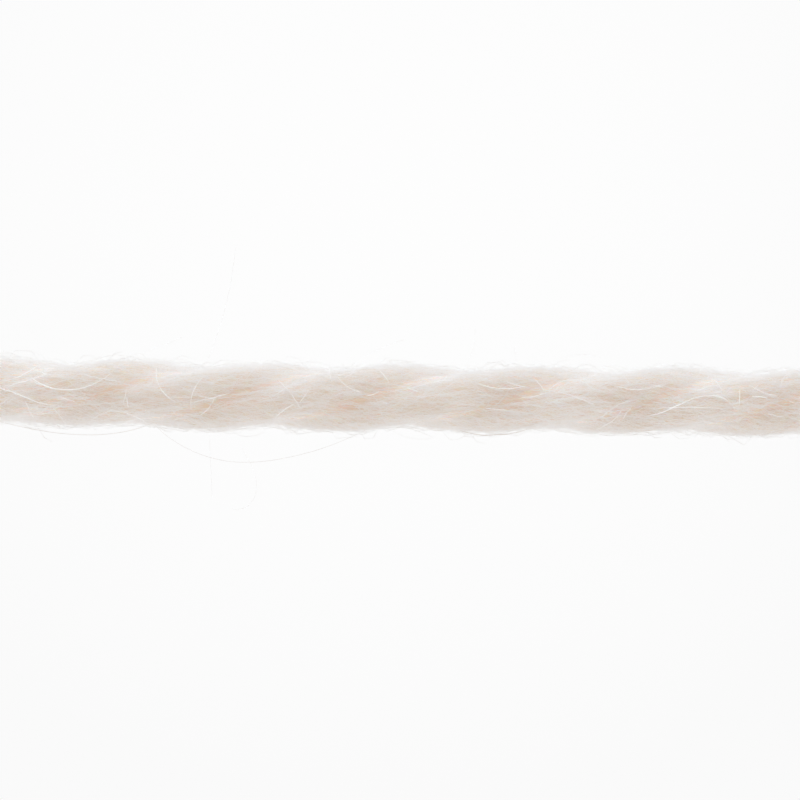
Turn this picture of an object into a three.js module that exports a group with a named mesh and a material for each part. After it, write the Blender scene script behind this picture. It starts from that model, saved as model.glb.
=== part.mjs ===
// A cut length of three-ply knitting yarn, lying straight on a level surface. Millimetres, +Z up.
// +X runs along the yarn and +Y across it. The origin is under the middle of the yarn, on the surface.
// Three spun plies are twisted round each other to the left (an S twist). Each is a solid of its own:
// round outside, and pressed flat against its two neighbours inside.
import * as THREE from "three";

// Driving dimensions
const YARN_LENGTH = 60;
const PLIES = 3;
const LAY = 25.2; // length in which the plies go once round each other
const LOBE_RADIUS = 1.2; // roundness of a ply's outer side
const LOBE_OFFSET = 0.88; // from the yarn's axis to the centre of that rounding
const PLY_GAP = 0.3; // between the flat sides of two neighbours
const INNER_EDGE_RADIUS = 0.12; // rounding where a ply's two flat sides meet
const REST_DEPTH = 0.2; // how far an even ply is pressed flat where it meets the surface
const PLY_1_AT_SIDE = -24.75; // place along the yarn where ply 1 is at the +Y side
const CUT_END = { rounding: 1, width: 0.4 }; // length of the rounding, and the share of width at the cut
const LOOSENING = { length: 5, outwards: 0.25 }; // near a cut end the plies spread from each other

// The spinning is uneven. Each row is a place along the yarn: the fullness of each ply, the lead of the
// twist in degrees, and how far the yarn lies to the +Y side.
const UNEVEN = [
  { at: -30, fullness: [1.0, 1.02, 0.96], lead: 3, side: -0.01 },
  { at: -25, fullness: [1.03, 1.03, 0.94], lead: 0, side: 0.02 },
  { at: -12.5, fullness: [0.99, 1.02, 0.95], lead: -4, side: -0.03 },
  { at: 0, fullness: [0.97, 1.0, 0.98], lead: -2, side: 0.03 },
  { at: 12.5, fullness: [0.96, 0.98, 1.0], lead: 5, side: -0.03 },
  { at: 25, fullness: [0.99, 0.99, 1.0], lead: 4, side: 0.02 },
  { at: 30, fullness: [0.97, 0.99, 0.99], lead: 0, side: 0.0 },
];

// Fineness of the faceted solids
const LOBE_SEGMENTS = 13;
const INNER_EDGE_SEGMENTS = 3;
const STEPS_ALONG = 58;
const STEPS_IN_ROUNDING = 4;

const WOOL = { color: 0xe0d6cd, roughness: 0.95, metalness: 0 };

const HALF_LENGTH = YARN_LENGTH / 2;
const HALF_SECTOR = Math.PI / PLIES; // half the angle that one ply takes
const AXIS_HEIGHT = LOBE_OFFSET + LOBE_RADIUS - REST_DEPTH;

// The value of one column of UNEVEN at a place along the yarn, eased between its rows.
function uneven(x, column) {
  let row = 1;
  while (row < UNEVEN.length - 1 && x > UNEVEN[row].at) {
    row += 1;
  }
  const [before, after] = UNEVEN.slice(row - 1, row + 1);
  const share = THREE.MathUtils.smoothstep(x, before.at, after.at);
  return THREE.MathUtils.lerp(column(before), column(after), share);
}

// Points on an arc round a centre on the first axis.
function arc(centre, radius, from, to, segments) {
  const points = [];
  for (let i = 0; i <= segments; i++) {
    const angle = THREE.MathUtils.lerp(from, to, i / segments);
    points.push(new THREE.Vector2(centre + radius * Math.cos(angle), radius * Math.sin(angle)));
  }
  return points;
}

// A ply's cross-section. The yarn's axis is at 0, and the first coordinate points away from it.
function plySection() {
  const inset = PLY_GAP / 2;
  const toFlatSide = LOBE_OFFSET * Math.sin(HALF_SECTOR) - inset; // from the centre of the rounding
  const halfLobe = HALF_SECTOR + Math.asin(toFlatSide / LOBE_RADIUS);
  const innerCentre = (inset + INNER_EDGE_RADIUS) / Math.sin(HALF_SECTOR);
  const innerStart = Math.PI / 2 + HALF_SECTOR;
  return new THREE.Shape([
    ...arc(LOBE_OFFSET, LOBE_RADIUS, -halfLobe, halfLobe, LOBE_SEGMENTS),
    ...arc(innerCentre, INNER_EDGE_RADIUS, innerStart, 2 * Math.PI - innerStart, INNER_EDGE_SEGMENTS),
  ]);
}

// Places along the yarn where a section stands: evenly spaced, and closer where a cut end rounds off.
// Each has the share of its full width that a ply has there.
function stations() {
  const rows = [];
  for (let i = 0; i < STEPS_IN_ROUNDING; i++) {
    const angle = (i / STEPS_IN_ROUNDING) * (Math.PI / 2);
    const inwards = CUT_END.rounding * (1 - Math.cos(angle));
    const width = THREE.MathUtils.lerp(CUT_END.width, 1, Math.sin(angle));
    rows.push({ x: HALF_LENGTH - inwards, width });
  }
  const ending = rows.map((row) => ({ x: -row.x, width: row.width }));
  const straight = HALF_LENGTH - CUT_END.rounding;
  for (let i = 0; i <= STEPS_ALONG; i++) {
    ending.push({ x: THREE.MathUtils.lerp(-straight, straight, i / STEPS_ALONG), width: 1 });
  }
  return [...ending, ...rows.reverse()];
}

// One ply. Its section is drawn out, and each of its points is then turned to its place in the twist.
function plyGeometry(number) {
  const along = stations();
  const steps = along.length - 1;
  const geometry = new THREE.ExtrudeGeometry(plySection(), { depth: steps, steps, bevelEnabled: false });
  const position = geometry.getAttribute("position");
  for (let i = 0; i < position.count; i++) {
    const { x, width } = along[Math.round(position.getZ(i))];
    const fullness = uneven(x, (row) => row.fullness[number]);
    const fromCut = Math.min(1, (HALF_LENGTH - Math.abs(x)) / LOOSENING.length);
    const spread = LOOSENING.outwards * (1 - fromCut) ** 2;
    const out = spread + fullness * (LOBE_OFFSET + (position.getX(i) - LOBE_OFFSET) * width);
    const round = fullness * position.getY(i) * width;
    const turned = (360 * (x - PLY_1_AT_SIDE)) / LAY - uneven(x, (row) => row.lead);
    const angle = THREE.MathUtils.degToRad((360 * number) / PLIES - turned);
    const y = uneven(x, (row) => row.side) + out * Math.cos(angle) - round * Math.sin(angle);
    const z = AXIS_HEIGHT + out * Math.sin(angle) + round * Math.cos(angle);
    position.setXYZ(i, x, y, Math.max(z, 0)); // what would sink into the surface is pressed flat on it
  }
  geometry.computeVertexNormals();
  return geometry;
}

const yarn = new THREE.Group();
for (let number = 0; number < PLIES; number++) {
  const ply = new THREE.Mesh(plyGeometry(number), new THREE.MeshStandardMaterial(WOOL));
  ply.name = `ply_${number + 1}`;
  yarn.add(ply);
}

export default yarn;
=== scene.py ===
import bpy
import math
import numpy as np
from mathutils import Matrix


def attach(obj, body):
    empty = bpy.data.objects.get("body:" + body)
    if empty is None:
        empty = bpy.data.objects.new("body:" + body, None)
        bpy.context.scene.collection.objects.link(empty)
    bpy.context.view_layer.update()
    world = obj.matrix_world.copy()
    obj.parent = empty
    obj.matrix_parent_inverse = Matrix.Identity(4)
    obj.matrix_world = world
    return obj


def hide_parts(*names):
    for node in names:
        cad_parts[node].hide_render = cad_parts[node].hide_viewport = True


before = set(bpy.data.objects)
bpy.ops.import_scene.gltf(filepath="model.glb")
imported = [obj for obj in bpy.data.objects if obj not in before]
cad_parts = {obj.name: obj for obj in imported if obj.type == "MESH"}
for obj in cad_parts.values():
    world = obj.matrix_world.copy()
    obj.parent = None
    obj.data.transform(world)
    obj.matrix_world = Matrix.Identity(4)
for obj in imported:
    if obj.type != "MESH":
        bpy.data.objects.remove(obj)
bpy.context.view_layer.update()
bpy.ops.object.select_all(action="DESELECT")
mm = 0.001  # the scene is in metres, the yarn is measured in millimetres
print("frame loaded")

# The strand as it is plied, in millimetres, the same as its solids.
strand = {
    "length": 60.0,
    "thickness": 4.0,
    "plies": 3,
    "lay": 25.2,           # the plies go once round each other in this length
    "lobeRadius": 1.2,     # roundness of a ply's outer side
    "lobeOffset": 0.88,    # from the strand's axis to the middle of that rounding
    "restDepth": 0.2,      # the strand is pressed this flat where it lies
    "ply1AtSide": -24.75,  # place along the strand where ply 1 is at the +Y side
    "grooveFill": 4.5,     # lower fills the grooves between the plies more
    "meanRadius": 1.9,     # from the axis to where its fibres lie
}
halfLength = strand["length"] / 2
axisHeight = strand["lobeOffset"] + strand["lobeRadius"] - strand["restDepth"]
turnPerPly = 2 * math.pi / strand["plies"]
lowest = {"spun": 0.02, "loose": 0.03, "laid": 0.05}  # how far wool stays above the surface, in mm

# Uneven spinning: how full each ply is, the twist's lead in degrees, and the strand's drift to the side.
unevenRows = [
    {"at": -30.0, "ply1": 1.00, "ply2": 1.02, "ply3": 0.96, "lead": 3, "side": -0.01},
    {"at": -25.0, "ply1": 1.03, "ply2": 1.03, "ply3": 0.94, "lead": 0, "side": 0.02},
    {"at": -12.5, "ply1": 0.99, "ply2": 1.02, "ply3": 0.95, "lead": -4, "side": -0.03},
    {"at": 0.0, "ply1": 0.97, "ply2": 1.00, "ply3": 0.98, "lead": -2, "side": 0.03},
    {"at": 12.5, "ply1": 0.96, "ply2": 0.98, "ply3": 1.00, "lead": 5, "side": -0.03},
    {"at": 25.0, "ply1": 0.99, "ply2": 0.99, "ply3": 1.00, "lead": 4, "side": 0.02},
    {"at": 30.0, "ply1": 0.97, "ply2": 0.99, "ply3": 0.99, "lead": 0, "side": 0.00},
]
plyNames = ["ply1", "ply2", "ply3"]


def uneven(x, column):
    at = np.array([row["at"] for row in unevenRows])
    value = np.array([row[column] for row in unevenRows])
    i = np.clip(np.searchsorted(at, x), 1, len(at) - 1)
    share = np.clip((x - at[i - 1]) / (at[i] - at[i - 1]), 0, 1)
    return value[i - 1] + (value[i] - value[i - 1]) * share * share * (3 - 2 * share)


def onStrand(x):  # the nearest place between the cut ends
    return np.clip(x, -halfLength, halfLength)


def plyAngle(ply, x):  # round the strand, from +Y towards +Z
    turned = 360 * (x - strand["ply1AtSide"]) / strand["lay"] - uneven(x, "lead")
    return turnPerPly * ply - np.radians(turned)


def reachOfPly(ply, x, around):  # from the strand's axis to that ply's far side
    full = uneven(x, plyNames[ply])
    off = around - plyAngle(ply, x)
    across = full * strand["lobeOffset"] * np.sin(off)
    inside = np.maximum((full * strand["lobeRadius"]) ** 2 - across ** 2, 0)
    return full * strand["lobeOffset"] * np.cos(off) + np.sqrt(inside)


def skin(x, around):  # the three plies as one soft outline
    x = onStrand(x)
    power = strand["grooveFill"]
    total = sum(reachOfPly(ply, x, around) ** power for ply in range(strand["plies"]))
    return total ** (1 / power)


def inGroove(x, around, width):  # 1 on the line where two plies meet, falling away over width degrees
    turn = (around - plyAngle(0, onStrand(x))) % turnPerPly
    return np.exp(-((np.degrees(turn) - 180 / strand["plies"]) / width) ** 2)


def place(x, around, reach, lowestZ):
    y = uneven(onStrand(x), "side") + reach * np.cos(around)
    z = np.maximum(axisHeight + reach * np.sin(around), lowestZ)
    return np.stack(np.broadcast_arrays(x, y, z), -1)


# Camera straight above, turned a little so that the strand slopes.
cameraSetup = {"lens": 100, "fieldWidth": 50.0, "turn": 0.73, "aimX": 0.0, "aimY": -0.13, "clipStart": 0.01}
bpy.ops.object.camera_add(rotation=(0, 0, math.radians(cameraSetup["turn"])))
camera = bpy.context.active_object
camera.name = "camera"
camera.data.lens = cameraSetup["lens"]
camera.data.clip_start = cameraSetup["clipStart"]
standOff = cameraSetup["fieldWidth"] * camera.data.lens / camera.data.sensor_width
camera.location = (cameraSetup["aimX"] * mm, cameraSetup["aimY"] * mm, (axisHeight + standOff) * mm)
bpy.context.scene.camera = camera
bpy.context.scene.view_settings.view_transform = "Standard"
# White wool passes light on from fibre to fibre many times, which takes long light paths.
lightBounces = 24
bpy.context.scene.cycles.max_bounces = lightBounces
bpy.context.scene.cycles.diffuse_bounces = lightBounces
print("camera set")


def linear(hexColour):  # from an sRGB hex code to linear light
    values = [int(hexColour[i : i + 2], 16) / 255 for i in (1, 3, 5)]
    return [v / 12.92 if v <= 0.04045 else ((v + 0.055) / 1.055) ** 2.4 for v in values] + [1]


def addNode(tree, kind, inputs=None, **settings):
    node = tree.nodes.new(kind)
    for name, value in settings.items():
        setattr(node, name, value)
    for name, value in (inputs or {}).items():
        if isinstance(value, bpy.types.NodeSocket):
            tree.links.new(value, node.inputs[name])
        else:
            node.inputs[name].default_value = value
    return node


def newMaterial(name):
    material = bpy.data.materials.new(name)
    material.use_nodes = True
    material.node_tree.nodes.clear()
    return material, material.node_tree


# Undyed sheep's wool, washed and carded: a rough, scaly fibre, nearly white and matt, with a soft sheen where
# light grazes it. Light that enters a ply of it comes out warmer, up to about the reach away, in metres.
wool = {"roughness": 0.9, "sheen": 1.0, "specular": 0.1, "reach": 0.002, "reachByColour": (1.0, 0.7, 0.45)}


# Each fibre's colour goes from pale to deep by its "tone".
def woolMaterial(name, pale, deep, packed=False):
    material, tree = newMaterial(name)
    tone = addNode(tree, "ShaderNodeAttribute", attribute_name="tone")
    ramp = addNode(tree, "ShaderNodeValToRGB", {"Fac": tone.outputs["Fac"]})
    for element, colour in zip(ramp.color_ramp.elements, (pale, deep)):
        element.color = linear(colour)
    shader = addNode(tree, "ShaderNodeBsdfPrincipled", {
        "Base Color": ramp.outputs["Color"], "Roughness": wool["roughness"],
        "Specular IOR Level": wool["specular"], "Sheen Weight": wool["sheen"]})
    if packed:
        shader.inputs["Subsurface Weight"].default_value = 1.0
        shader.inputs["Subsurface Radius"].default_value = wool["reachByColour"]
        shader.inputs["Subsurface Scale"].default_value = wool["reach"]
    addNode(tree, "ShaderNodeOutputMaterial", {"Surface": shader.outputs["BSDF"]})
    return material


# Packed wool inside a ply, spun tight: light scatters through it, so shadows on it are soft. Its grooves have
# a warmer colour painted in, a painted shade.
coreWool = woolMaterial("spun wool core", "#F2EAE2", "#FFECDE", packed=True)
# Fibres drawn out and spun side by side: cream, and painted warmer deeper down as shade, so they read as
# fine streaks.
fibreWool = woolMaterial("spun wool fibre", "#F6F2ED", "#FFF5EC")
# Single hairs out in the light, white all through: clear lines on the plies, and hardly seen beside them.
hairWool = woolMaterial("loose wool hair", "#FFFFFF", "#FFFFFF")
# Fine fibres raised by handling: a white haze that softens the plies' outline. Those lying low are painted
# a little warmer, a painted shade.
fuzzWool = woolMaterial("fine wool fuzz", "#FFFFFF", "#FBF8F5")
# A few hairs that leave the strand, painted greyer as shade, so they show as thin darker lines against the
# bright ground.
shadedStrayWool = woolMaterial("stray wool hair", "#EDE8E3", "#C9BCAF")
# The shortest fibres, which cover the plies all over: they even out the streaks below. The low ones are
# painted a touch warmer, a painted shade.
downWool = woolMaterial("wool down", "#FDFEFF", "#FFFEFD")
print("wool materials made")


def makeMesh(name, points, faces, uv, tone, material, smooth=False):
    mesh = bpy.data.meshes.new(name)
    mesh.from_pydata(points * mm, [], faces)
    mesh.attributes.new("tone", "FLOAT", "POINT").data.foreach_set("value", tone.astype(np.float32))
    layer = mesh.uv_layers.new(name="OFBake")
    layer.uv.foreach_set("vector", uv.astype(np.float32).ravel())
    mesh.polygons.foreach_set("use_smooth", np.full(len(mesh.polygons), smooth))
    mesh.materials.append(material)
    piece = bpy.data.objects.new(name, mesh)
    bpy.context.scene.collection.objects.link(piece)
    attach(piece, "root")
    print(name, "made,", sum(len(p.vertices) - 2 for p in mesh.polygons), "triangles")
    return piece


# Soft random unevenness over the strand, about -1 to 1. turns is the most waves that it has round the strand.
def mottle(seed, x, around, longest=9.0, shortest=2.0, turns=4, waves=14):
    rng = np.random.default_rng(seed)
    total = np.zeros(np.broadcast(x, around).shape)
    for _ in range(waves):
        wave = 2 * math.pi / rng.uniform(shortest, longest)
        total += np.cos(wave * x + rng.integers(-turns, turns + 1) * around + rng.uniform(0, 2 * math.pi))
    return total / math.sqrt(waves / 2) / 2


# Streaks along the wool, 0.2 mm apart and wider. Real ones are fibres of 0.03 mm, so these are coarser.
def grain(seed, x, around):
    return mottle(seed, x, around, longest=12.0, shortest=3.0, turns=55, waves=90)


# Plies: packed wool under the fibres, as one skin. A crease below 0 fills the grooves between the plies, and
# near the cut ends they open instead.
# The groove tone is painted shade: a warmer colour along the lines where the plies meet.
plyBody = {"sink": 0.20, "around": 168, "along": 420, "endIn": 0.4, "unevenness": 0.03, "streaks": 0.012,
           "crease": -0.16, "creaseWidth": 13.0, "endOpening": 1.1, "openLength": 2.5, "endRounding": 0.12,
           "baseTone": 0.15, "patchTone": 0.06, "streakTone": 0.02, "grooveShadeTone": 0.42, "grooveWidth": 9.0,
           "seed": 3}
# Its UV map: the skin as one strip with its seam at the first ply, and both cut ends past the strip's end.
stripUv = {"start": 0.01, "along": 0.9, "around": 0.98, "endU": 0.955, "endV": 0.25, "nextEnd": 0.5,
           "perMm": 0.016}


def plyBodies():
    along, around = plyBody["along"], plyBody["around"]
    half = halfLength - plyBody["endIn"]
    x = np.linspace(-half, half, along)[:, None]
    turn = np.linspace(0, 2 * math.pi, around, endpoint=False)[None, :]
    angle = plyAngle(0, x) + turn
    nearEnd = np.clip((np.abs(x) - half + plyBody["openLength"]) / plyBody["openLength"], 0, 1)
    crease = plyBody["crease"] + plyBody["endOpening"] * nearEnd ** 2
    opening = crease * inGroove(x, angle, plyBody["creaseWidth"])
    streak = grain(plyBody["seed"] + 2, x, angle)
    relief = plyBody["unevenness"] * mottle(plyBody["seed"], x, angle) + plyBody["streaks"] * streak
    rounding = 1 - plyBody["endRounding"] * nearEnd ** 6
    reach = (skin(x, angle) - plyBody["sink"] + relief - opening) * rounding
    points = place(x, angle, reach, lowest["spun"]).reshape(-1, 3)
    patches = plyBody["patchTone"] * mottle(plyBody["seed"] + 1, x, angle)
    # Painted shade: a warmer tone along the grooves between the plies.
    groove = plyBody["grooveShadeTone"] * inGroove(x, angle, plyBody["grooveWidth"])
    tone = plyBody["baseTone"] + patches + plyBody["streakTone"] * streak + groove
    i = np.arange(along - 1)[:, None]
    j = np.arange(around)[None, :]
    corners = [(i, j), (i, j + 1), (i + 1, j + 1), (i + 1, j)]
    quads = np.stack([a * around + b % around for a, b in corners], -1).reshape(-1, 4)
    strip = (along - 1, around)
    u = [np.broadcast_to(stripUv["start"] + stripUv["along"] * a / (along - 1), strip) for a, b in corners]
    v = [np.broadcast_to(stripUv["start"] + stripUv["around"] * b / around, strip) for a, b in corners]
    uv = [np.stack([np.stack(u, -1), np.stack(v, -1)], -1).reshape(-1, 2)]
    caps = [np.arange(around)[::-1], (along - 1) * around + np.arange(around)]
    for end, cap in enumerate(caps):
        middle = np.array([stripUv["endU"], stripUv["endV"] + stripUv["nextEnd"] * end])
        uv.append(middle + (points[cap][:, 1:] - (0, axisHeight)) * stripUv["perMm"])
    faces = quads.tolist() + [cap.tolist() for cap in caps]
    return points, faces, np.concatenate(uv), np.clip(tone, 0, 1).reshape(-1)


rodSides = 3
# A rod's UV map: its place along the strand by its tone, and its corners a little apart.
rodUv = {"middle": 0.5, "along": 0.9, "paleV": 0.02, "deeper": 0.96, "apart": 0.003, "apartAlong": 0.1}


# Fibres as thin three-sided rods with a flat side up, which looks even and soft, or with a ridge up, which
# makes single hairs stand out. routes is [fibre, point, xyz].
def rods(routes, radius, tone, ridgeUp=False):
    count, points, _ = routes.shape
    tiny = 1e-9  # keeps a rod without a direction from dividing by zero
    along = np.gradient(routes, axis=1)
    along /= np.linalg.norm(along, axis=2, keepdims=True) + tiny
    across = np.cross((0, 0, 1), along)
    side = np.cross(along, across if ridgeUp else -across)
    side /= np.linalg.norm(side, axis=2, keepdims=True) + tiny
    up = np.cross(side, along)
    corners = []
    for corner in range(rodSides):
        turn = 2 * math.pi * corner / rodSides
        corners.append(routes + radius[..., None] * (math.cos(turn) * side + math.sin(turn) * up))
    vertices = np.stack(corners, 2).reshape(-1, 3)
    vertices[:, 2] = np.maximum(vertices[:, 2], 0.0)
    start = (np.arange(count) * points * rodSides)[:, None]
    base = start[..., None]
    i = np.arange(points - 1)[None, :, None] * rodSides
    j = np.arange(rodSides)[None, None, :]
    k = (j + 1) % rodSides
    ring = [base + i + j, base + i + k, base + i + rodSides + k, base + i + rodSides + j]
    quads = np.stack(ring, -1).reshape(-1, 4)
    firsts = start + np.array([[0, 2, 1]])
    lasts = start + (points - 1) * rodSides + np.array([[0, 1, 2]])
    ends = np.concatenate([firsts, lasts])
    apart = (np.arange(rodSides) - 1)[None, None, :] * rodUv["apart"]
    u = (routes[..., 0] / strand["length"] * rodUv["along"] + rodUv["middle"])[..., None]
    v = (rodUv["paleV"] + rodUv["deeper"] * tone)[..., None]
    uv = np.stack([u + apart * rodUv["apartAlong"], v + apart], -1).reshape(-1, 2)
    cornerUv = np.concatenate([uv[quads].reshape(-1, 2), uv[ends].reshape(-1, 2)])
    return vertices, quads.tolist() + ends.tolist(), cornerUv, np.repeat(tone, rodSides, axis=1).reshape(-1)


crimpVaries = {"fewest": 0.7, "most": 1.3}


# Small random waves along each fibre, as the wool's own crimp. waves is how many fit along it.
def crimp(rng, count, points, waves, size):
    t = np.linspace(0, 1, points)[None, :]
    total = np.zeros((count, points))
    for wave in waves:
        turn = 2 * math.pi * wave * t * rng.uniform(crimpVaries["fewest"], crimpVaries["most"], (count, 1))
        total += rng.normal(size=(count, 1)) * np.sin(turn + rng.uniform(0, 2 * math.pi, (count, 1)))
    return total * size


goldenStep = 0.618  # each fibre's step round the strand, by the golden ratio, which spreads them without rows
stepWander = 0.1


# Fibres spread evenly along the strand and around it.
def evenlySpread(rng, count):
    order = np.arange(count)[:, None]
    middle = halfLength * (2 * (order + rng.random((count, 1))) / count - 1)
    return middle, (goldenStep * order + stepWander * rng.random((count, 1))) % 1


# Spun fibres: they run along each ply, side by side, and dive into the groove at its edge or bridge it.
# The rods are about 0.02 mm across, near real wool's 0.025 to 0.03 mm, but far fewer than real.
spun = {"count": 400, "points": 8, "radius": 0.012, "thinnest": 0.75, "thickest": 1.25, "middle": 1.1,
        "taper": 0.6, "heading": 8.0, "halfShortest": 2.5, "halfLongest": 6.0, "raggedEnds": 0.3,
        "curl": 0.02, "curlDepth": 0.012, "edgeTurn": 64.0, "spread": 0.9, "slowest": 0.1,
        "shallowest": 0.05, "deepest": 0.18, "mostlyDeep": 0.8, "tuck": 0.15,
        "dive": 0.05, "diveFrom": 46.0, "diveOver": 18.0, "bridging": 0.5, "bridgeDive": 0.2,
        "tone": 0.1, "toneSpread": 0.05, "shadeTonePerDepth": 1.5, "seed": 11}


def spunFibres(ply):
    rng = np.random.default_rng(spun["seed"] + ply)
    count, points = spun["count"], spun["points"]
    middle, share = evenlySpread(rng, count)
    heading = np.radians(rng.normal(0, spun["heading"], (count, 1)))
    turnRate = np.tan(heading) / strand["meanRadius"]
    edge = math.radians(spun["edgeTurn"])
    across = (2 * spun["spread"] * share - spun["spread"]) * edge
    passing = np.maximum(turnRate + 2 * math.pi / strand["lay"], spun["slowest"])
    half = rng.uniform(spun["halfShortest"], spun["halfLongest"], (count, 1))
    start = np.maximum(middle - half, middle - (edge + across) / passing)
    stop = np.minimum(middle + half, middle + (edge - across) / passing)
    start = np.maximum(start, -halfLength + spun["raggedEnds"] * rng.normal(size=(count, 1)))
    stop = np.minimum(stop, halfLength + spun["raggedEnds"] * rng.normal(size=(count, 1)))
    t = np.linspace(-1, 1, points)[None, :]
    x = (start + stop) / 2 + (stop - start) / 2 * t
    curl = crimp(rng, count, points, (1, 2), spun["curl"])
    around = plyAngle(ply, middle) + across + turnRate * (x - middle) + curl
    offPly = np.abs(around - plyAngle(ply, onStrand(x)))
    pastEdge = (offPly - math.radians(spun["diveFrom"])) / math.radians(spun["diveOver"])
    dive = spun["dive"] * np.clip(pastEdge, 0, 1) ** 2
    dive = np.where(rng.random((count, 1)) < spun["bridging"], spun["bridgeDive"] * dive, dive)
    deeper = (spun["deepest"] - spun["shallowest"]) * rng.random((count, 1)) ** spun["mostlyDeep"]
    depth = spun["shallowest"] + deeper
    sink = depth + dive + spun["tuck"] * np.abs(t) ** 8 + crimp(rng, count, points, (1, 2), spun["curlDepth"])
    reach = skin(x, around) - sink + plyBody["unevenness"] * mottle(plyBody["seed"], x, around)
    radius = spun["radius"] * rng.uniform(spun["thinnest"], spun["thickest"], (count, 1))
    radius = radius * (spun["middle"] - spun["taper"] * np.abs(t) ** 8)
    tone = rng.normal(spun["tone"], spun["toneSpread"], (count, 1))
    # Painted shade: fibres that lie deeper take a warmer tone.
    tone = tone + spun["shadeTonePerDepth"] * (depth - spun["shallowest"])
    # Painted shade: the spun fibres take the same warmer tone along the grooves.
    tone = tone + plyBody["grooveShadeTone"] * inGroove(x, around, plyBody["grooveWidth"])
    return rods(place(x, around, reach, lowest["spun"]), radius, np.clip(tone, 0, 1))


# Loose fibres follow the skin and stand off it. Some have a free end, and the others tuck both ends in.
loose = {"overhang": 1.0, "freeBy": 1.2, "freeCurve": 1.3, "liftWander": 0.15, "partingWidth": 7.0,
         "thinnest": 0.8, "thickest": 1.2, "middle": 1.1, "taper": 0.7}


def hairs(s, part=0):
    rng = np.random.default_rng(s["seed"] + part)
    count, points = s["count"], s["points"]
    middle, share = evenlySpread(rng, count)
    length = rng.uniform(s["shortest"], s["longest"], (count, 1))
    heading = np.radians(rng.normal(0, s["heading"], (count, 1)))
    heading = heading + crimp(rng, count, points, (0.5, 1, 2), s["curl"])
    step = length / (points - 1)
    furthest = halfLength + loose["overhang"]
    x = np.cumsum(step * np.cos(heading), 1)
    x = np.clip(x - x[:, points // 2, None] + middle, -furthest, furthest)
    around = np.cumsum(step * np.sin(heading), 1) / strand["meanRadius"]
    around = around - around[:, points // 2, None] + 2 * math.pi * share
    t = np.linspace(-1, 1, points)[None, :]
    loop = 1 - t ** 4
    free = np.clip((t + 1) / loose["freeBy"], 0, 1) ** loose["freeCurve"]
    shape = np.where(rng.random((count, 1)) < s["freeEnds"], free, loop)
    stands = rng.exponential(s["lift"], (count, 1))
    lift = stands * shape * (1 + crimp(rng, count, points, (1, 2), loose["liftWander"]))
    reach = skin(x, around) - s["below"] + lift - s["dive"] * (1 - shape)
    reach = reach - s["parting"] * inGroove(x, around, loose["partingWidth"])
    radius = s["radius"] * rng.uniform(loose["thinnest"], loose["thickest"], (count, 1))
    radius = radius * (loose["middle"] - loose["taper"] * np.abs(t) ** 6)
    # Painted shade: a fibre that stands lower, nearer the plies, takes the deeper, warmer colour.
    tone = np.exp(-stands / s["lift"]) * np.ones((1, points))
    return rods(place(x, around, reach, lowest["loose"]), radius, tone)


# Hairs lying on the surface, about 0.03 mm across, as wool's coarser fibres.
surfaceHairs = {"below": 0.12, "count": 120, "points": 24, "shortest": 3, "longest": 9, "heading": 22,
                "curl": 0.3, "lift": 0.05, "dive": 0.12, "parting": 0.0, "radius": 0.018, "freeEnds": 0.3,
                "seed": 21}

# Fuzz, about 0.02 mm across, as fine wool, and much sparser than real.
fuzz = {"below": 0.145, "count": 2800, "points": 11, "shortest": 2, "longest": 7, "heading": 14,
        "curl": 0.25, "lift": 0.12, "dive": 0.1, "parting": 0.04, "radius": 0.0100, "freeEnds": 0.4,
        "seed": 22}

# Down, 0.02 mm across in the middle and drawn with only four points each, which leaves out its finest crimp.
# Its two pieces differ only in their random draws.
down = {"below": 0.145, "count": 9600, "points": 4, "shortest": 1.2, "longest": 3.2, "heading": 13,
        "curl": 0.18, "lift": 0.12, "dive": 0.14, "parting": 0.03, "radius": 0.0105, "freeEnds": 0.5,
        "seed": 23, "pieces": 2}

# Cut ends: the fibres inside each ply, cut off at slightly different lengths and fanning out a little.
# They're about 0.03 mm across and up to 0.04, coarser and far fewer than real.
cutEnds = {"count": 520, "points": 4, "from": 1.3, "shortest": -0.3, "longest": 0.9, "fan": 0.3,
           "stray": 0.12, "withinPly": 0.97, "radius": 0.021, "thinnest": 0.7, "thickest": 1.2, "taper": 0.3,
           "tone": 0.25, "toneSpread": 0.2, "seed": 41}


def cutFibres():
    s = cutEnds
    rng = np.random.default_rng(s["seed"])
    count, points = s["count"], s["points"]
    t = np.linspace(0, 1, points)[None, :]
    routes = []
    for end in (-1, 1):
        for ply in range(strand["plies"]):
            stop = halfLength + s["shortest"] + (s["longest"] - s["shortest"]) * rng.random((count, 1)) ** 2
            x = end * (halfLength - s["from"] + (stop - halfLength + s["from"]) * t)
            full = uneven(x, plyNames[ply])
            toPly = plyAngle(ply, x)
            widest = s["withinPly"] * strand["lobeRadius"] * full
            out = widest * np.sqrt(rng.random((count, 1))) * (1 + s["fan"] * t ** 2)
            turn = 2 * math.pi * rng.random((count, 1)) + toPly
            y = uneven(x, "side") + full * strand["lobeOffset"] * np.cos(toPly) + out * np.cos(turn)
            z = axisHeight + full * strand["lobeOffset"] * np.sin(toPly) + out * np.sin(turn)
            y = y + s["stray"] * t ** 2 * rng.normal(size=(count, 1))
            z = z + s["stray"] * t ** 2 * rng.normal(size=(count, 1))
            routes.append(np.stack([x, y, np.maximum(z, lowest["loose"])], -1))
    routes = np.concatenate(routes)
    radius = s["radius"] * rng.uniform(s["thinnest"], s["thickest"], (len(routes), 1))
    radius = radius * (1 - s["taper"] * t ** 4)
    tone = rng.normal(s["tone"], s["toneSpread"], (len(routes), 1))
    return rods(routes, radius, np.clip(tone, 0, 1) * np.ones((1, points)))


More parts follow.
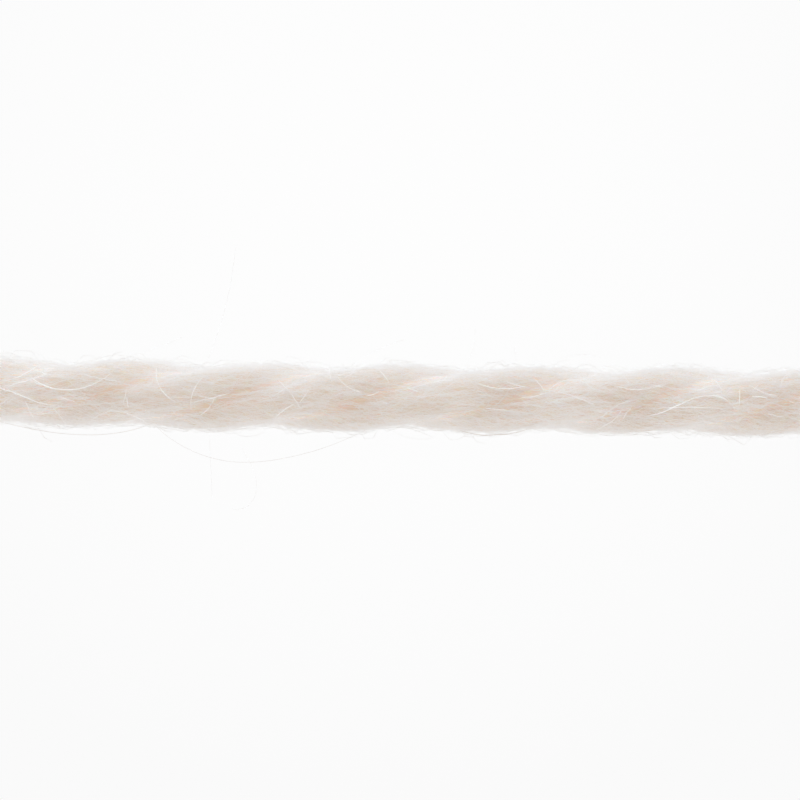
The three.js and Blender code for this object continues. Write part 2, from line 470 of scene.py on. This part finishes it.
# Longer hairs that lie over the plies one by one, and strays that stand away from the strand. Each row is one
# hair: where its middle is along and across the strand, its length in mm, its heading there in degrees from
# +X towards +Y, the degrees that it bends by from end to end, and its sway, which turns both of its ends the
# same way and its middle the other way.
hairColumns = ["x", "y", "length", "heading", "bend", "sway"]
clearRows = [
    (-20.2, 0.25, 5.3, 2, 80, 0),
    (-23.1, -0.25, 3.9, -17, 5, 9),
    (-18.4, 0.95, 2.6, -11, 5, 0),
    (-22.2, 1.3, 1.4, -15, 10, 0),
    (-22.9, 0.8, 2.6, 18, 5, 0),
    (-11.6, -0.15, 2.3, 15, 5, 0),
    (-20.5, -0.35, 0.9, -12, -20, 0),
    (-3.25, 0.65, 1.8, -35, 45, 0),
    (-1.65, 0.2, 0.9, 20, 30, 0),
    (-0.95, 1.3, 0.9, -50, -20, 0),
    (0.8, 0.5, 0.8, -18, -10, 0),
    (6.3, 0.65, 3.1, -3, 40, 0),
    (6.0, -0.65, 1.3, -5, 15, 0),
    (8.3, 0.2, 1.6, 12, 30, 0),
    (10.9, 0.15, 2.5, -19, -15, 0),
    (11.5, 1.0, 1.0, -33, -15, 0),
    (13.1, -1.3, 1.9, 38, 40, 0),
    (14.0, -0.75, 1.1, 58, -25, 0),
    (16.0, 0.9, 0.6, -10, 0, 0),
    (18.1, 0.2, 6.0, 5, -65, -33),
    (18.8, 0.85, 1.0, 20, -10, 0),
    (22.2, 0.35, 1.0, -5, -20, 0),
]
softRows = [
    (-23.3, 1.15, 2.6, 28, 50, 0),
    (-24.4, -0.6, 1.0, 40, 0, 0),
    (-22.85, -1.05, 1.2, -75, -30, 0),
    (-21.1, -1.35, 1.1, -55, -25, 0),
    (-17.4, -1.05, 4.1, 0, -100, 0),
    (-16.95, -0.2, 1.0, -100, -25, 0),
    (-16.8, -0.5, 0.7, -80, 10, 0),
    (-14.8, 0.45, 3.0, -60, 70, 0),
    (-13.2, -1.35, 1.8, 12, -20, 0),
    (-12.75, 0.2, 2.3, -112, 50, 0),
    (-11.8, -0.75, 1.6, 50, 50, 0),
    (-7.3, 0.35, 1.1, 35, 15, 0),
    (-7.15, -0.85, 1.5, 38, -20, 0),
    (-6.75, 0.2, 2.2, -50, -20, 0),
    (-5.9, 0.0, 1.0, 55, 10, 0),
    (-4.35, 1.4, 0.9, -78, 10, 0),
    (2.1, 1.0, 2.6, 12, -20, 0),
    (7.1, 0.9, 1.2, -15, 0, 0),
    (8.65, 0.9, 0.9, -50, -15, 0),
    (9.9, 1.1, 1.8, 27, -45, 0),
    (13.3, -0.35, 2.2, 32, -40, 0),
    (14.9, 0.7, 3.0, 3, 50, 0),
    (17.8, -0.35, 4.2, 1, -10, 0),
    (19.7, 1.0, 0.8, -65, -20, 0),
    (20.9, 0.25, 1.1, -90, 0, 0),
    (22.4, 0.6, 1.9, -20, 40, 0),
    (23.2, -0.8, 1.2, -10, 0, 0),
    (24.0, 0.1, 1.0, -20, 0, 0),
]
strayRows = [
    (-20.3, -2.55, 10.4, -0.5, 37, 6),
    (-8.7, -4.1, 14.4, -2, 75, -10),
    (6.1, -2.25, 5.0, 3, 45, 0),
    (21.8, -2.1, 5.2, 3, 45, 0),
]
faintRows = [
    (-11.8, -3.9, 5.0, -87, 0, 0),
    (-8.9, -5.6, 5.3, -102, -137, -34),
    (-15.3, 2.95, 4.0, 22, 0, 0),
    (-11.0, 5.5, 8.3, 76, 20, 0),
    (-1.4, 3.0, 3.7, 27, -20, 0),
    (4.5, 3.1, 2.8, 75, 35, 0),
    (7.2, 2.6, 1.7, 100, -20, 0),
    (18.1, 2.55, 1.5, 83, 20, 0),
    (0.7, -2.5, 2.6, -12, 45, 0),
    (11.3, 2.85, 2.8, 3, -45, 0),
]

# The clear and soft hairs are 0.035 to 0.04 mm across, coarser than most real wool, so that each one shows.
# The four strays have a radius each, and the third is nearly as thick as two fibres.
clearHairs = {"points": 30, "radius": [0.024], "lift": 0.24, "tuck": 0.2, "wander": 0.012, "tone": 0.0,
              "seed": 31}
softHairs = {"points": 30, "radius": [0.022], "lift": 0.15, "tuck": 0.16, "wander": 0.012, "tone": 0.0,
             "seed": 34}
# The strays' grey colour is painted shade.
strayHairs = {"points": 48, "radius": [0.012, 0.007, 0.031, 0.012], "lift": 0.02, "tuck": 0.10,
              "wander": 0.012, "tone": 0.5, "seed": 32}
faintHairs = {"points": 48, "radius": [0.008], "lift": 0.02, "tuck": 0.10, "wander": 0.012, "tone": 0.0,
              "seed": 33}
laid = {"thinnest": 0.75, "thickest": 1.15, "middle": 1.05, "taper": 0.55, "settlingRounds": 10}


# A hair's route over the plies, seen from above, as evenly spaced points that turn by its bend and its sway.
def hairRoute(row, count):
    hair = dict(zip(hairColumns, row))
    along = np.linspace(-0.5, 0.5, count)
    swayed = hair["sway"] * (6 * along ** 2 - 0.5)  # this adds up to no turn over the whole hair
    heading = np.radians(hair["heading"] + hair["bend"] * along + swayed)
    steps = np.stack([np.cos(heading), np.sin(heading)], -1) * hair["length"] / (count - 1)
    route = np.cumsum(steps, axis=0)
    return route - route[count // 2] + (hair["x"], hair["y"])


def overTop(x, y, lift):  # on the strand's upper side, or level with its middle where y is past its edge
    across = y - uneven(onStrand(x), "side")
    around = np.full(x.shape, math.pi / 2)
    for _ in range(laid["settlingRounds"]):
        reach = skin(x, around) + lift
        around = np.arccos(np.clip(across / reach, -1, 1))
    return np.stack([x, y, axisHeight + reach * np.sin(around)], -1)


def laidHairs(rows, s):
    rng = np.random.default_rng(s["seed"])
    count, points = len(rows), s["points"]
    flat = np.array([hairRoute(row, points) for row in rows])
    wander = crimp(rng, count, points, (2, 4), s["wander"])
    t = np.linspace(-1, 1, points)[None, :]
    lift = s["lift"] - s["tuck"] * np.abs(t) ** 6 + np.zeros((count, 1))
    routes = overTop(flat[..., 0], flat[..., 1] + wander, lift)
    routes[..., 2] = np.maximum(routes[..., 2], lowest["laid"])
    radius = np.array(s["radius"])[:, None] * rng.uniform(laid["thinnest"], laid["thickest"], (count, 1))
    radius = radius * (laid["middle"] - laid["taper"] * np.abs(t) ** 6)
    return rods(routes, radius, np.full((count, points), s["tone"]), ridgeUp=True)


plies = makeMesh("yarn_plies", *plyBodies(), coreWool, smooth=True)
for ply in range(strand["plies"]):
    makeMesh(f"spun_fibres_{ply + 1}", *spunFibres(ply), fibreWool)
makeMesh("cut_ends", *cutFibres(), fibreWool)
makeMesh("surface_hairs", *hairs(surfaceHairs), hairWool)
makeMesh("fuzz", *hairs(fuzz), fuzzWool)
makeMesh("clear_hairs", *laidHairs(clearRows, clearHairs), hairWool)
makeMesh("soft_hairs", *laidHairs(softRows, softHairs), hairWool)
makeMesh("stray_hairs", *laidHairs(strayRows, strayHairs), shadedStrayWool)
makeMesh("faint_hairs", *laidHairs(faintRows, faintHairs), hairWool)
for part in range(1, down["pieces"] + 1):
    makeMesh(f"down_{part}", *hairs(down, part), downWool)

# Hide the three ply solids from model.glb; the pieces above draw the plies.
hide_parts("ply_1", "ply_2", "ply_3")

# Floor: a white sheet lit from below, which gives a plain bright ground. It's brightest beside the strand's
# middle and fades a little outwards. Its lengths are in metres.
ground = {"size": 4, "below": 0.00003, "brightestAt": (-0.001, 0.012, 0.0), "fadesOver": 0.038,
          "brightest": 0.984, "dimmest": 0.956}
bpy.ops.mesh.primitive_plane_add(size=ground["size"], location=(0, 0, -ground["below"]))
floor = bpy.context.active_object
floor.name = "floor"
material, tree = newMaterial("light table")
onFloor = addNode(tree, "ShaderNodeTexCoord")
away = addNode(tree, "ShaderNodeVectorMath", {
    0: onFloor.outputs["Object"], 1: ground["brightestAt"]}, operation="DISTANCE")
squared = addNode(tree, "ShaderNodeMath", {0: away.outputs["Value"], 1: 2.0}, operation="POWER")
fade = addNode(tree, "ShaderNodeMapRange", {
    "Value": squared.outputs[0], "From Max": ground["fadesOver"] ** 2,
    "To Min": ground["brightest"], "To Max": ground["dimmest"]})
shader = addNode(tree, "ShaderNodeEmission", {"Color": (1, 1, 1, 1), "Strength": fade.outputs[0]})
addNode(tree, "ShaderNodeOutputMaterial", {"Surface": shader.outputs[0]})
floor.data.materials.append(material)
print("floor laid")

# Lights: a bright band all round the horizon, stronger and cooler on the far side, with a dim and slightly
# warm sky overhead and a small cool key light. band is how high the horizon's light reaches, where 1 is
# straight up. keySize and keyFrom are in metres.
lights = {"far": 4.32, "farColour": "#DBEDFF", "near": 2.95, "nearColour": "#E6F2FF",
          "overhead": 0.573, "overheadColour": "#FFF2E4", "band": 0.40,
          "keyPower": 0.22, "keyColour": "#EBF5FF", "keySize": 0.3, "keyFrom": (0.0, 0.3, 0.35)}
mixFrom, mixTo, mixResult = 6, 7, 2  # a Mix node's colour sockets


def lightColour(name):
    return [lights[name] * c for c in linear(lights[name + "Colour"])[:3]] + [1]


world = bpy.data.worlds.new("studio")
bpy.context.scene.world = world
world.use_nodes = True
sky = world.node_tree
direction = addNode(sky, "ShaderNodeTexCoord")
height = addNode(sky, "ShaderNodeSeparateXYZ", {0: direction.outputs["Generated"]})
share = addNode(sky, "ShaderNodeMapRange", {
    "Value": height.outputs["Z"], "From Min": 0.0, "From Max": lights["band"]},
    interpolation_type="SMOOTHSTEP")
glow = addNode(sky, "ShaderNodeMix", {0: share.outputs[0]}, data_type="RGBA")
glow.inputs[mixTo].default_value = lightColour("overhead")
side = addNode(sky, "ShaderNodeMapRange", {"Value": height.outputs["Y"], "From Min": -1.0, "From Max": 1.0})
rim = addNode(sky, "ShaderNodeMix", {0: side.outputs[0]}, data_type="RGBA")
rim.inputs[mixFrom].default_value = lightColour("near")
rim.inputs[mixTo].default_value = lightColour("far")
sky.links.new(rim.outputs[mixResult], glow.inputs[mixFrom])
sky.links.new(glow.outputs[mixResult], sky.nodes["Background"].inputs["Color"])
bpy.ops.object.light_add(type="AREA", location=lights["keyFrom"])
key = bpy.context.active_object
key.name = "key"
key.data.shape = "DISK"
key.data.size = lights["keySize"]
key.data.energy = lights["keyPower"]
key.data.color = linear(lights["keyColour"])[:3]
key.rotation_euler = (-key.location).to_track_quat("-Z", "Y").to_euler()
print("lights set")
